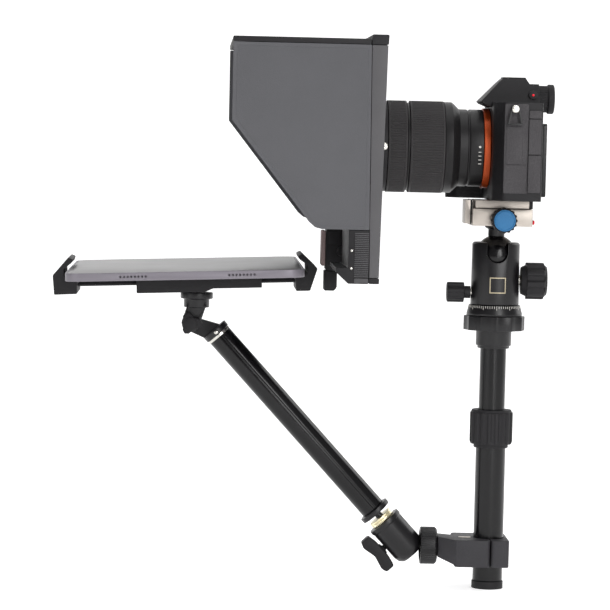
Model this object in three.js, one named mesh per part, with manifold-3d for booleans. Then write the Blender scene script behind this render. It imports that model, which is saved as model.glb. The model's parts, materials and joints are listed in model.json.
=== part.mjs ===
// Teleprompter rig: a beam splitter hood on a camera lens, a tablet on an articulated arm, and the
// tripod column and ball head that carry both. Millimetres, +Z up. X runs along the lens axis, with the
// operator on the +X side and the presenter on the -X side. The origin is the centre of the column's foot.
import * as THREE from "three";
import { mergeVertices } from "three/addons/utils/BufferGeometryUtils.js";
import Module from "manifold-3d";

const wasm = await Module();
wasm.setup();

// ---- Driving dimensions --------------------------------------------------------------------------
const GAP = 0.35; // running clearance between neighbouring pieces
const LENS_Z = 345; // height of the lens axis above the column's foot

const COLUMN_R = 11.7; // lower tube of the column
const COLUMN_BORE = 10.6;
const UPPER_TUBE_R = 10.2;
const LOWER_TUBE_TOP = 124;
const PLATFORM_Z = 203.2; // underside of the lobed platform disc
const PAN_BASE_Z = 214.7;
const HOUSING_Z = 223.4; // underside of the ball housing
const HOUSING_TOP = 272;
const BALL_Z = 261.2;
const BALL_R = 16.4;
const BALL_CAVITY_R = 16.75;

const QR_X = [-20.9, 25.9]; // quick release clamp, along the lens axis
const QR_Z = [-60, -46.8]; // below the lens axis
const PLATE_X = [-18.6, 25.9];

const HOOD_HALF_W = 140; // hood and frame, half their width
const PANEL_T = 3; // hood panel thickness
const FRAME_TOP = 74.5; // frame shell, above the lens axis
const FRAME_BOTTOM = -96.9;
const GLASS_ANGLE = 51.6; // slope of the beam splitter, degrees below horizontal
const GLASS_HALF = 73; // half the length of the glass frame, down its slope

const CLAMP_Z = [19, 40]; // column clamp, above the column's foot
const FLANGE_Z = 32.6; // axis of the dish flange and the mini ball
const MINI_BALL_X = -65.3;
const MINI_BALL_R = 9;
const ARM_ANGLE = 47.3; // slope of the arm above horizontal, degrees
const ARM_R = 9.7;
const ARM_START = 38.3; // tube ends, measured along the arm from the mini ball
const ARM_END = 221.8;
const HINGE_X = -237.2; // tilt hinge under the tablet
const HINGE_Z = -141; // below the lens axis
const MOUNT_X = -233; // swivel axis of the tablet holder
const HOLDER_X = -230.7; // middle of the tablet holder

const TABLET_SIZE = [178.5, 247.6, 6.1];
const TABLET_TILT = 2.3; // end nearest the hood is raised, degrees
const JAW_HALF_W = 35;

// ---- Shape helpers -------------------------------------------------------------------------------
// A closed three.js geometry as a manifold solid.
function solid(geometry) {
  const bare = geometry.clone();
  bare.deleteAttribute("normal");
  bare.deleteAttribute("uv");
  const merged = mergeVertices(bare, 1e-4);
  const corners = merged.index.array;
  const faces = [];
  for (let i = 0; i < corners.length; i += 3) {
    const [a, b, c] = [corners[i], corners[i + 1], corners[i + 2]];
    if (a !== b && b !== c && a !== c) faces.push(a, b, c);
  }
  const vertProperties = merged.attributes.position.array;
  const triVerts = new Uint32Array(faces);
  return new wasm.Manifold(new wasm.Mesh({ numProp: 3, vertProperties, triVerts }));
}

// A manifold solid as a three.js geometry.
function geometryOf(shape) {
  const mesh = shape.getMesh();
  const geometry = new THREE.BufferGeometry();
  geometry.setAttribute("position", new THREE.BufferAttribute(new Float32Array(mesh.vertProperties), 3));
  geometry.setIndex(new THREE.BufferAttribute(new Uint32Array(mesh.triVerts), 1));
  geometry.computeVertexNormals();
  return geometry;
}

// A named mesh with a material of its own.
function piece(name, shape, color, roughness, metalness = 0) {
  const material = new THREE.MeshStandardMaterial({ color, roughness, metalness });
  const mesh = new THREE.Mesh(geometryOf(shape), material);
  mesh.name = name;
  return mesh;
}

const union = (first, ...others) => others.reduce((whole, other) => whole.add(other), first);
const cut = (first, ...others) => others.reduce((whole, other) => whole.subtract(other), first);

function box([x0, x1], [y0, y1], [z0, z1]) {
  const geometry = new THREE.BoxGeometry(x1 - x0, y1 - y0, z1 - z0);
  geometry.translate((x0 + x1) / 2, (y0 + y1) / 2, (z0 + z1) / 2);
  return solid(geometry);
}

// A profile of [radius, height] turned about +Z, with its axis through (x, y).
function turnedZ(profile, [x, y] = [0, 0], segments = 28) {
  const points = profile.map(([r, h]) => new THREE.Vector2(r, h));
  const geometry = new THREE.LatheGeometry(points, segments);
  geometry.rotateX(Math.PI / 2);
  geometry.translate(x, y, 0);
  return solid(geometry);
}

// A profile of [radius, distance along +X] turned about an axis through (y, z).
function turnedX(profile, [y, z] = [0, 0], segments = 28) {
  const points = profile.map(([r, h]) => new THREE.Vector2(r, h));
  const geometry = new THREE.LatheGeometry(points, segments);
  geometry.rotateZ(-Math.PI / 2);
  geometry.translate(0, y, z);
  return solid(geometry);
}

// A profile of [radius, distance along +Y] turned about an axis through (x, z).
function turnedY(profile, [x, z] = [0, 0], segments = 28) {
  const points = profile.map(([r, h]) => new THREE.Vector2(r, h));
  const geometry = new THREE.LatheGeometry(points, segments);
  geometry.translate(x, 0, z);
  return solid(geometry);
}

const rodProfile = (radius, from, to) => [[0, from], [radius, from], [radius, to], [0, to]];
const ringProfile = (inner, outer, from, to) =>
  [[inner, from], [outer, from], [outer, to], [inner, to], [inner, from]];
const rodX = (radius, [from, to], at, segments = 16) => turnedX(rodProfile(radius, from, to), at, segments);
const rodY = (radius, [from, to], at, segments = 16) => turnedY(rodProfile(radius, from, to), at, segments);
const rodZ = (radius, [from, to], at, segments = 16) => turnedZ(rodProfile(radius, from, to), at, segments);

function ball(radius, [x, y, z], segments = 24) {
  const geometry = new THREE.SphereGeometry(radius, segments, segments * 0.65);
  geometry.translate(x, y, z);
  return solid(geometry);
}

// A closed outline with every corner rounded.
function outline(points, radius = 0) {
  const shape = new THREE.Shape();
  const corners = points.map(([x, y]) => new THREE.Vector2(x, y));
  corners.forEach((corner, i) => {
    const before = corners[(i + corners.length - 1) % corners.length];
    const after = corners[(i + 1) % corners.length];
    const reach = Math.min(radius, corner.distanceTo(before) / 2.1, corner.distanceTo(after) / 2.1);
    const start = before.clone().sub(corner).setLength(reach).add(corner);
    const end = after.clone().sub(corner).setLength(reach).add(corner);
    if (i === 0) shape.moveTo(start.x, start.y);
    else shape.lineTo(start.x, start.y);
    if (radius > 0) shape.quadraticCurveTo(corner.x, corner.y, end.x, end.y);
  });
  shape.closePath();
  return shape;
}

const rectangle = ([x0, x1], [y0, y1], radius = 0) =>
  outline([[x0, y0], [x1, y0], [x1, y1], [x0, y1]], radius);

// A round outline with evenly spaced lobes, as on a grip ring or a knob.
function lobed(radius, depth, lobes, stepsPerLobe = 4) {
  const steps = lobes * stepsPerLobe;
  const points = Array.from({ length: steps }, (_, i) => {
    const r = radius - (depth * (1 - Math.cos((i / stepsPerLobe) * 2 * Math.PI))) / 2;
    const angle = (i / steps) * 2 * Math.PI;
    return new THREE.Vector2(r * Math.cos(angle), r * Math.sin(angle));
  });
  return new THREE.Shape(points);
}

function extruded(shape, depth) {
  return new THREE.ExtrudeGeometry(shape, { depth, bevelEnabled: false, curveSegments: 3 });
}

// An outline in X and Z, thick along Y.
function plateXZ(shape, [y0, y1], [x, z] = [0, 0]) {
  const geometry = extruded(shape, y1 - y0);
  geometry.rotateX(Math.PI / 2);
  geometry.translate(x, y1, z);
  return solid(geometry);
}

// An outline in X and Y, thick along Z.
function plateXY(shape, [z0, z1]) {
  const geometry = extruded(shape, z1 - z0);
  geometry.translate(0, 0, z0);
  return solid(geometry);
}

// An outline in Y and Z, thick along X.
function plateYZ(shape, [x0, x1], [y, z] = [0, 0]) {
  const geometry = extruded(shape, x1 - x0);
  const turn = new THREE.Matrix4().makeBasis(
    new THREE.Vector3(0, 1, 0),
    new THREE.Vector3(0, 0, 1),
    new THREE.Vector3(1, 0, 0),
  );
  geometry.applyMatrix4(turn);
  geometry.translate(x0, y, z);
  return solid(geometry);
}

// ---- Column --------------------------------------------------------------------------------------
function column() {
  const cap = turnedZ([[0, 0], [12.4, 0], [12.4, 6], [10.3, 6], [10.3, 14], [0, 14]]);
  const lower = turnedZ(ringProfile(COLUMN_BORE, COLUMN_R, 6 + GAP, LOWER_TUBE_TOP));
  const upper = turnedZ(ringProfile(9, UPPER_TUBE_R, 62, 201));
  return [
    piece("column_end_cap", cap, 0x151515, 0.7),
    piece("column_lower_tube", lower, 0x0e0d0f, 0.3, 0.6),
    piece("column_upper_tube", upper, 0x0e0d0f, 0.25, 0.6),
    piece("twist_lock_collar", twistCollar(), 0x1b1a1c, 0.7),
  ];
}

function twistCollar() {
  const core = turnedZ([[0, 111], [13.5, 111], [13.5, 113.8], [16, 113.8], [16, 140.7], [0, 140.7]]);
  const grip = plateXY(lobed(16.8, 1, 18, 3), [116, 138.5]);
  const lowerBore = rodZ(COLUMN_R + GAP, [110, LOWER_TUBE_TOP + 1], [0, 0], 28);
  const upperBore = rodZ(UPPER_TUBE_R + GAP, [110, 142], [0, 0], 28);
  return cut(union(core, grip), lowerBore, upperBore);
}

// ---- Ball head -----------------------------------------------------------------------------------
function ballHead() {
  return [
    piece("head_platform", headPlatform(), 0x141315, 0.45, 0.4),
    piece("pan_base", panBase(), 0x161517, 0.4, 0.5),
    piece("ball_housing", ballHousing(), 0x0d0c0e, 0.25, 0.5),
    piece("main_lock_knob", mainLockKnob(), 0x1a191b, 0.6),
    piece("pan_lock_knob", panLockKnob(), 0x1a191b, 0.6),
    piece("ball", ball(BALL_R, [0, 0, BALL_Z], 22), 0x0b0b0c, 0.15, 0.8),
  ];
}

function headPlatform() {
  const neck = turnedZ([
    [UPPER_TUBE_R + GAP, 189],
    [12.6, 189],
    [12.6, 191.2],
    [13.9, 191.2],
    [13.9, PLATFORM_Z + 1],
    [0, PLATFORM_Z + 1],
    [0, 201.4],
    [UPPER_TUBE_R + GAP, 201.4],
    [UPPER_TUBE_R + GAP, 189],
  ]);
  const disc = plateXY(lobed(24, 1.6, 12), [PLATFORM_Z, PAN_BASE_Z - GAP]);
  const stud = rodZ(4.7, [PAN_BASE_Z - 1, 220.5], [0, 0]);
  return union(neck, disc, stud);
}

function panBase() {
  return turnedZ([
    [0, 221],
    [5.1, 221],
    [5.1, PAN_BASE_Z],
    [21.7, PAN_BASE_Z],
    [21.7, PAN_BASE_Z + 1.6],
    [19.9, HOUSING_Z - GAP],
    [8, HOUSING_Z - GAP],
    [8, 236],
    [0, 236],
  ]);
}

function ballHousing() {
  const shell = turnedZ([
    [0, 236.5],
    [8 + GAP, 236.5],
    [8 + GAP, HOUSING_Z],
    [18.9, HOUSING_Z],
    [18.6, 262],
    [18.6, 270.6],
    [17.4, HOUSING_TOP],
    [0, HOUSING_TOP],
  ], [0, 0], 36);
  const notchZ = 264.2;
  return cut(
    shell,
    ball(BALL_CAVITY_R, [0, 0, BALL_Z], 22),
    box([-8.15, 8.15], [-25, -5], [notchZ, HOUSING_TOP + 1]),
    rodY(8.15, [-25, -5], [0, notchZ], 20),
    rodX(4.4, [9, 20], [0, 242.4]),
    rodX(3.4, [-20, -7], [0, 232.4]),
  );
}

function mainLockKnob() {
  const at = [0, 242.4];
  const spindle = rodX(4, [9.8, 24], at);
  const hub = turnedX([[0, 20], [10.5, 20], [12.4, 24], [12.4, 39], [11, 40.1], [0, 40.1]], at);
  const grip = plateYZ(lobed(14.5, 2.2, 9), [23.5, 37.5], at);
  return union(spindle, hub, grip);
}

function panLockKnob() {
  const at = [0, 232.4];
  const spindle = rodX(3, [-24, -8.7], at);
  const neck = rodX(4.8, [-25, -19.3], at);
  const grip = plateYZ(lobed(8, 1.1, 7), [-37.7, -24.5], at);
  return union(spindle, neck, grip);
}

// ---- Quick release, in the lens frame ------------------------------------------------------------
const DOVETAIL_TOP = 12; // half width of the plate's dovetail at its neck
const DOVETAIL_FOOT = 16;
const QR_SCREW = [3, -55.2]; // X and Z of the clamp's screw
const SCREW_R = 2.4;
const SCREW_BORE_R = 2.9;
const PIN_AT = [-6, -57]; // Y and Z of the safety pin

function quickRelease() {
  return [
    piece("ball_neck", ballNeck(), 0x101012, 0.3, 0.6),
    piece("qr_clamp_body", qrClampBody(), 0xb9b2ab, 0.4, 0.8),
    piece("qr_moving_jaw", qrMovingJaw(), 0xb9b2ab, 0.4, 0.8),
    piece("qr_knob", qrKnob(), 0x6fb0e8, 0.35, 0.5),
    piece("safety_pin", rodX(1.8, [20.6, 29], PIN_AT), 0xc0202c, 0.4, 0.5),
    piece("qr_plate", qrPlate(), 0xc4bdb6, 0.4, 0.8),
  ];
}

function ballNeck() {
  const top = QR_Z[0] - GAP;
  const post = turnedZ([[0, -74], [6.4, -74], [6.4, -63], [9, -61.6], [9, top], [0, top]]);
  return cut(post, ball(BALL_CAVITY_R, [0, 0, BALL_Z - LENS_Z], 22));
}

function qrClampBody() {
  const section = outline([
    [-11.5, QR_Z[0]],
    [21.5, QR_Z[0]],
    [21.5, QR_Z[1]],
    [DOVETAIL_TOP + 1.2, QR_Z[1]],
    [DOVETAIL_FOOT + 0.9, -51.4],
    [-11.5, -51.4],
  ]);
  const endStop = box([-25.8, QR_X[0] + 1], [-11.4, 15], [-58.7, -40.3]);
  const screwBore = rodY(SCREW_BORE_R, [-13, 9], QR_SCREW);
  const pinBore = rodX(2.2, [18.2, 28], PIN_AT);
  return cut(union(plateYZ(section, QR_X), endStop), screwBore, pinBore);
}

function qrMovingJaw() {
  const section = outline([
    [-21.5, QR_Z[0]],
    [-12, QR_Z[0]],
    [-12, -51.4],
    [-DOVETAIL_FOOT - 0.9, -51.4],
    [-DOVETAIL_TOP - 1.2, QR_Z[1]],
    [-21.5, QR_Z[1]],
  ]);
  return cut(plateYZ(section, QR_X), rodY(SCREW_BORE_R, [-23, -11], QR_SCREW));
}

function qrKnob() {
  const at = QR_SCREW;
  const screw = rodY(SCREW_R, [-25, 5], at);
  const rim = plateXZ(lobed(10.3, 0.8, 16, 2), [-35.5, -23.5], at);
  const cap = turnedY([[0, -37.2], [7.4, -37.2], [8.3, -36.4], [8.3, -22], [0, -22]], at);
  return union(screw, rim, cap);
}

function qrPlate() {
  const section = outline([
    [-19, -46.2],
    [-19, -40.1],
    [19, -40.1],
    [19, -46.2],
    [DOVETAIL_TOP, -46.2],
    [DOVETAIL_FOOT, -51],
    [-DOVETAIL_FOOT, -51],
    [-DOVETAIL_TOP, -46.2],
  ]);
  return plateYZ(section, PLATE_X);
}

// ---- Camera, in the lens frame -------------------------------------------------------------------
const BODY_X = [-8.3, 28.6];
const BODY_Y = [-56, 71];
const BODY_BOTTOM = -39.7;
const FRONT_CHAMFER = [7.1, 16]; // the body's near front corner, cut along X and Y
const DOOR_X = [17.6, 27.2];
const LCD_X = [29, 33.6];
const LUG = [6.4, 30.7]; // X and Z of the strap lug
const EYEPIECE_Z = 39.3;
const BUTTON = [-26, 54]; // X and Y of the shutter button

function camera() {
  const door = (z0, z1) => plateXZ(rectangle(DOOR_X, [z0, z1], 1), [BODY_Y[0] - 1.8, BODY_Y[0] - GAP]);
  const button = turnedZ([[0, 25.5], [4.5, 25.5], [4.5, 28.2], [3.6, 28.9], [0, 28.9]], BUTTON, 20);
  return [
    piece("camera_body", cameraBody(), 0x1c1b1d, 0.6),
    piece("viewfinder_eyecup", eyecup(), 0x111112, 0.85),
    piece("port_door_upper", door(-3.8, 23.1), 0x2c2a2c, 0.7),
    piece("port_door_lower", door(-33, -4.4), 0x2c2a2c, 0.7),
    piece("lcd_screen", plateYZ(rectangle([-38, 40], [-36.5, 20], 2.5), LCD_X), 0x151517, 0.35),
    piece("shutter_button", button, 0x8c8c90, 0.3, 0.9),
    piece("strap_ring", strapRing(), 0xb8b6b4, 0.3, 1),
  ];
}

function cameraBody() {
  const [front, back] = BODY_X;
  const [near, far] = BODY_Y;
  const nearCorner = [[front, near + FRONT_CHAMFER[1]], [front + FRONT_CHAMFER[0], near]];
  const gripOutline = outline([
    [back, near],
    [back, far - 3],
    [24, far],
    [-24, far],
    [-36, 66],
    [-37, 48],
    [-30, 39],
    [front, 34],
    ...nearCorner,
  ], 3);
  const shoulderOutline = outline([[back, near], [back, 42], [front, 42], ...nearCorner], 3);
  const humpSide = outline([
    [-16.7, 36.3],
    [-2.5, 51.5],
    [0.5, 54.3],
    [19, 54.3],
    [21.4, 50.6],
    [back, 50.6],
    [back, 32],
    [front, 32],
    [-15, 34.8],
  ]);
  const humpFront = outline([[-25, 30], [25, 30], [22, 40], [13, 55], [-13, 55], [-22, 40]]);
  const lower = plateXY(gripOutline, [BODY_BOTTOM, 27]);
  const shoulder = plateXY(shoulderOutline, [26, 35.7]);
  const hump = plateXZ(humpSide, [-26, 26]).intersect(plateYZ(humpFront, [-20, back]));
  const lug = union(rodY(1.2, [-61.6, -55], LUG, 10), rodY(2.6, [-62.6, -61.4], LUG, 12));
  const buttonWell = rodZ(4.9, [24.2, 28], BUTTON, 20);
  return cut(union(lower, shoulder, hump, lug), buttonWell);
}

function eyecup() {
  const seat = BODY_X[1] + GAP;
  return turnedX([
    [0, seat],
    [10.6, seat],
    [10.6, 37.4],
    [11.6, 38.6],
    [11.6, 41],
    [10.4, 42],
    [8, 42],
    [8, 34],
    [0, 34],
  ], [0, EYEPIECE_Z]);
}

function strapRing() {
  const outer = outline([[3.6, 33.6], [0.2, 18.2], [12.6, 18.2], [9.2, 33.6]], 1.6);
  const inner = outline([[4.8, 32.2], [2.3, 19.8], [10.5, 19.8], [8, 32.2]], 0.8);
  return cut(plateXZ(outer, [-60.6, -59]), plateXZ(inner, [-62, -58]));
}

// ---- Lens, about the X axis of the lens frame ----------------------------------------------------
const LENS_R = 35.7;
const LENS_SEGMENTS = 32;

function lens() {
  const barrel = [
    [0, -74],
    [28, -74],
    [28, -87.8],
    [31.6, -87.8],
    [31.6, -72.9],
    [34.2, -72.9],
    [34.2, -71.1],
    [31.6, -71.1],
    [31.6, -43.9],
    [35.3, -43.9],
    [35.3, -37.9],
    [30, -32.2],
    [30, -14],
    [0, -14],
  ];
  const glass = [[0, -86], [14, -84.8], [27.5, -81], [27.5, -77], [0, -77]];
  const ring = (profile) => turnedX(profile, [0, 0], LENS_SEGMENTS);
  return [
    piece("lens_barrel", ring(barrel), 0x1b1a1b, 0.5, 0.3),
    piece("lens_front_glass", ring(glass), 0x20242c, 0.05),
    piece("focus_ring", ring(ringProfile(32, LENS_R, -88, -73.2)), 0x2a2829, 0.75),
    piece("zoom_ring", ring(ringProfile(32, LENS_R, -70.8, -44.2)), 0x2a2829, 0.75),
    piece("lens_mount_ring", ring(ringProfile(21, 31, -13.6, BODY_X[0] - GAP)), 0xc45a2a, 0.4, 0.5),
    piece("lens_adapter", lensAdapter(), 0x141416, 0.5, 0.3),
    piece("adapter_lock_screw", adapterLockScrew(), 0xcfcdc8, 0.3, 1),
  ];
}

const ADAPTER_SCREW_X = -91.6;

function lensAdapter() {
  const body = turnedX([
    [29, -102],
    [33, -102],
    [33, -96.2],
    [35.2, -96.2],
    [35.2, -88.4],
    [29, -88.4],
    [29, -102],
  ], [0, 0], LENS_SEGMENTS);
  return cut(body, rodY(1.8, [-38, -25], [ADAPTER_SCREW_X, 0], 12));
}

function adapterLockScrew() {
  const at = [ADAPTER_SCREW_X, 0];
  return union(rodY(1.4, [-37, -30], at, 12), rodY(3, [-40, -35.7], at, 16));
}

// ---- Frame, hood and beam splitter, in the lens frame --------------------------------------------
const FRAME_Y = [-HOOD_HALF_W, HOOD_HALF_W];

function promptFrame() {
  return [
    piece("frame_shell", frameShell(), 0x878586, 0.6),
    piece("frame_top_cap", frameTopCap(), 0x1a1718, 0.6),
    piece("frame_bottom_cap", frameBottomCap(), 0x1a1718, 0.6),
    piece("base_block", baseBlock(), 0x3a3839, 0.7),
    ...glassAssembly(),
    ...hood(),
  ];
}

function frameShell() {
  const side = outline([
    [-107.9, FRAME_TOP],
    [-96.15, FRAME_TOP],
    [-99.1, FRAME_BOTTOM],
    [-106.25, FRAME_BOTTOM],
  ]);
  const hollow = outline([
    [-120, FRAME_TOP - 3],
    [-98.7, FRAME_TOP - 3],
    [-101.6, FRAME_BOTTOM + 3],
    [-120, FRAME_BOTTOM + 3],
  ]);
  const lensHole = rodX(33.4, [-110, -90], [0, 0], LENS_SEGMENTS);
  const innerY = HOOD_HALF_W - PANEL_T;
  return cut(plateXZ(side, FRAME_Y), plateXZ(hollow, [-innerY, innerY]), lensHole);
}

function frameTopCap() {
  const side = outline([[-108.2, 74.9], [-95.8, 74.9], [-95.5, 82.3], [-107.9, 82.3]], 1);
  return plateXZ(side, FRAME_Y);
}

function frameBottomCap() {
  const side = outline([[-106.4, -97.3], [-98.8, -97.3], [-98.9, -101.4], [-106.3, -101.4]], 0.6);
  return plateXZ(side, FRAME_Y);
}

const PHONE_BALL = [-120, 0, -83.6];

function baseBlock() {
  const side = outline([
    [-106.8, -62.2],
    [-122, -62.2],
    [-122, -90],
    [-131, -90],
    [-131, -93],
    [-121.8, -101.5],
    [-106.8, -101.5],
  ], 0.8);
  const pocket = box([-140, -113], [-30, 30], [-110, -55]);
  const stud = rodX(2.6, [-119, -112], [0, PHONE_BALL[2]]);
  return union(cut(plateXZ(side, FRAME_Y), pocket), stud, ball(5.5, PHONE_BALL, 16));
}

function glassAssembly() {
  const halfW = HOOD_HALF_W - PANEL_T - 1.5;
  const rim = cut(
    box([-GLASS_HALF, GLASS_HALF], [-halfW, halfW], [-2.5, 2.5]),
    box([7 - GLASS_HALF, GLASS_HALF - 7], [6.5 - halfW, halfW - 6.5], [-4, 4]),
  );
  const glass = box([7.4 - GLASS_HALF, GLASS_HALF - 7.4], [6.9 - halfW, halfW - 6.9], [-1.5, 1.5]);
  const group = new THREE.Group();
  group.add(
    piece("glass_frame", rim, 0x121213, 0.6),
    piece("beam_splitter_glass", glass, 0x9aa6aa, 0.02, 0.3),
  );
  group.position.set(-157.5, 0, 8.5);
  group.rotation.y = THREE.MathUtils.degToRad(GLASS_ANGLE);
  return [group];
}

function hood() {
  const side = outline([
    [-108.3, 74.6],
    [-210, 74.6],
    [-209.8, 17.2],
    [-151.5, -56.5],
    [-147, -60.4],
    [-142.1, -61.6],
    [-107, -61.6],
  ], 0.6);
  const panel = (y0) => plateXZ(side, [y0, y0 + PANEL_T]);
  const flap = plateXZ(rectangle([-210.2, -108.6], [75, 79], 0.8), FRAME_Y);
  return [
    piece("hood_top_flap", flap, 0x1a1a1b, 0.8),
    piece("hood_side_near", panel(-HOOD_HALF_W), 0x6e6e70, 0.75),
    piece("hood_side_far", panel(HOOD_HALF_W - PANEL_T), 0x6e6e70, 0.75),
  ];
}

// ---- Phone clamp folded under the hood, in the lens frame ----------------------------------------
function phoneClamp() {
  const bodySide = outline([
    [-133.5, -65.5],
    [-117, -65.5],
    [-117, -93],
    [-121, -97.5],
    [-133.5, -97.5],
  ], 1);
  const rodAt = [-129.3, 0];
  const body = cut(
    plateXZ(bodySide, [-15, 15]),
    ball(5.9, PHONE_BALL, 16),
    rodZ(2.4, [-99, -75], rodAt),
  );
  const jawSide = outline([
    [-134.2, -98],
    [-124.4, -98],
    [-124.4, -110.5],
    [-126.4, -113.3],
    [-134.2, -113.3],
  ], 0.8);
  const jaw = union(plateXZ(jawSide, [-13, 13]), rodZ(2, [-100, -77], rodAt));
  const pad = plateXZ(rectangle([-137, -133.85], [-94.1, -66.7], 1.2), [-13, 13]);
  return [
    piece("phone_clamp_body", body, 0x161617, 0.6),
    piece("phone_clamp_pad", pad, 0x8d7b7a, 0.6),
    piece("phone_clamp_jaw", jaw, 0x131314, 0.6),
  ];
}

// ---- Column clamp and dish flange, above the column's foot ---------------------------------------
const CLAMP_SCREW = [19, 31]; // Y and Z of the clamp's screw
const CLAMP_HALF_W = 25;
const NECK_END = -40.35; // where the clamp's neck meets the flange

function columnClamp() {
  const bore = rodZ(COLUMN_R + GAP, [0, 60], [0, 0], 28);
  const screwBore = rodX(SCREW_BORE_R, [-60, 30], CLAMP_SCREW);
  const neckSide = outline([[NECK_END, 41], [-28, 40], [-10, 40], [-10, 19], [-28, 20.5], [NECK_END, 25]]);
  const neckPlan = outline([
    [NECK_END, -12],
    [-27, -CLAMP_HALF_W],
    [-10, -CLAMP_HALF_W],
    [-10, 11],
    [NECK_END, 11],
  ]);
  const neck = plateXZ(neckSide, [-30, 30]).intersect(plateXY(neckPlan, [10, 50]));
  const fixedBlock = plateXY(rectangle([-28, -0.3], [-CLAMP_HALF_W, CLAMP_HALF_W], 4), CLAMP_Z);
  const fixedJaw = cut(union(fixedBlock, neck), bore, screwBore);
  const movingBlock = plateXY(rectangle([0.3, 14.6], [-CLAMP_HALF_W, CLAMP_HALF_W], 4), CLAMP_Z);
  const screw = rodX(SCREW_R, [-32, 12], CLAMP_SCREW);
  const knob = union(screw, plateYZ(lobed(7.6, 1.4, 6), [NECK_END + 0.15, -28.6], CLAMP_SCREW));
  const flange = turnedX([
    [0, -45.8],
    [11.4, -45.8],
    [12.4, -53.8],
    [14.6, -53.8],
    [14.6, -42.4],
    [13, -40.7],
    [0, -40.7],
  ], [0, FLANGE_Z]);
  const miniBall = union(
    ball(MINI_BALL_R, [MINI_BALL_X, 0, FLANGE_Z], 16),
    rodX(2.3, [-60, -46.15], [0, FLANGE_Z]),
    rodX(4.2, [-48.6, -46.15], [0, FLANGE_Z]),
  );
  return [
    piece("clamp_fixed_jaw", fixedJaw, 0x4b494d, 0.6, 0.3),
    piece("clamp_moving_jaw", cut(movingBlock, bore, screwBore), 0x4b494d, 0.6, 0.3),
    piece("clamp_knob", knob, 0x18181a, 0.6),
    piece("dish_flange", flange, 0x121214, 0.45, 0.4),
    piece("mini_ball", miniBall, 0xc9c2b8, 0.25, 1),
  ];
}

// ---- Arm, in a frame whose +Z runs up the arm from the mini ball ---------------------------------
function arm() {
  const group = new THREE.Group();
  group.position.set(MINI_BALL_X, 0, FLANGE_Z);
  group.rotation.y = THREE.MathUtils.degToRad(ARM_ANGLE - 90);
  const tube = turnedZ(ringProfile(8.3, ARM_R, ARM_START, ARM_END));
  const nut = cut(plateXY(lobed(10, 0.6, 16, 2), [26, 30.5]), rodZ(3.3, [20, 40], [0, 0]));
  const lowerCap = turnedZ([
    [0, 41],
    [3.3, 41],
    [3.3, 34],
    [12.8, 34],
    [12.8, 37.9],
    [7.9, 37.9],
    [7.9, 48],
    [0, 48],
  ]);
  group.add(
    piece("mini_head_body", miniHeadBody(), 0x0f0f11, 0.3, 0.5),
    piece("mini_wing_knob", miniWingKnob(), 0x17171a, 0.6),
    piece("arm_lock_nut", nut, 0xd8cfa8, 0.3, 1),
    piece("arm_lower_cap", lowerCap, 0x121214, 0.5, 0.3),
    piece("arm_tube", tube, 0x0a0a0c, 0.12, 0.6),
    piece("arm_upper_cap", armUpperCap(), 0x151517, 0.4, 0.4),
  );
  return group;
}

function miniHeadBody() {
  const barrel = turnedZ([
    [0, -9],
    [9.6, -9],
    [12.2, -6.4],
    [13.2, -2.4],
    [13.2, 21.5],
    [13.9, 22.3],
    [13.9, 25.6],
    [2.9, 25.6],
    [2.9, 40],
    [0, 40],
  ]);
  // The slot lets the mini ball's stem swing from beside the barrel to its foot.
  const edge = (degrees) => {
    const angle = THREE.MathUtils.degToRad(degrees);
    return [22 * Math.cos(angle), 22 * Math.sin(angle)];
  };
  const slot = plateXZ(outline([[0, 0], edge(-24), edge(-57), edge(-92)]), [-2.9, 2.9]);
  const screwBore = rodX(2.6, [-16, -9.9], [0, 9.3]);
  return cut(barrel, ball(MINI_BALL_R + GAP, [0, 0, 0], 18), slot, screwBore);
}

function miniWingKnob() {
  const at = [0, 9.3];
  const wing = outline([
    [-17, -6],
    [-15.4, 2.4],
    [-15.4, 16.2],
    [-17, 24.6],
    [-24.6, 24.6],
    [-26.2, 20],
    [-23.6, 9.3],
    [-26.2, -1.4],
    [-24.6, -6],
  ], 1.5);
  return union(rodX(2.2, [-16, -10.2], at), rodX(4.5, [-21.5, -14.3], at), plateXZ(wing, [-5.4, 5.4]));
}

// The hinge's place in the arm's own frame.
function hingeInArm() {
  const offset = new THREE.Vector3(HINGE_X - MINI_BALL_X, 0, LENS_Z + HINGE_Z - FLANGE_Z);
  const toArm = THREE.MathUtils.degToRad(90 - ARM_ANGLE);
  return offset.applyAxisAngle(new THREE.Vector3(0, 1, 0), toArm);
}

function armUpperCap() {
  const hinge = hingeInArm();
  const seat = ARM_END + GAP;
  const cap = turnedZ([[0, 205], [7.9, 205], [7.9, seat], [10.6, seat], [10.6, 226.5], [0, 226.5]]);
  const knuckle = new THREE.Shape();
  knuckle.absarc(hinge.x, hinge.z, 6.7, -0.2, Math.PI + 0.2, false);
  knuckle.lineTo(-9.5, 225);
  knuckle.lineTo(6.8, 225);
  knuckle.closePath();
  const leaf = new THREE.ExtrudeGeometry(knuckle, { depth: 6.8, bevelEnabled: false, curveSegments: 12 });
  leaf.rotateX(Math.PI / 2);
  leaf.translate(0, 3.4, 0);
  return cut(union(cap, solid(leaf)), rodY(2.3, [-5, 5], [hinge.x, hinge.z]));
}

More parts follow.
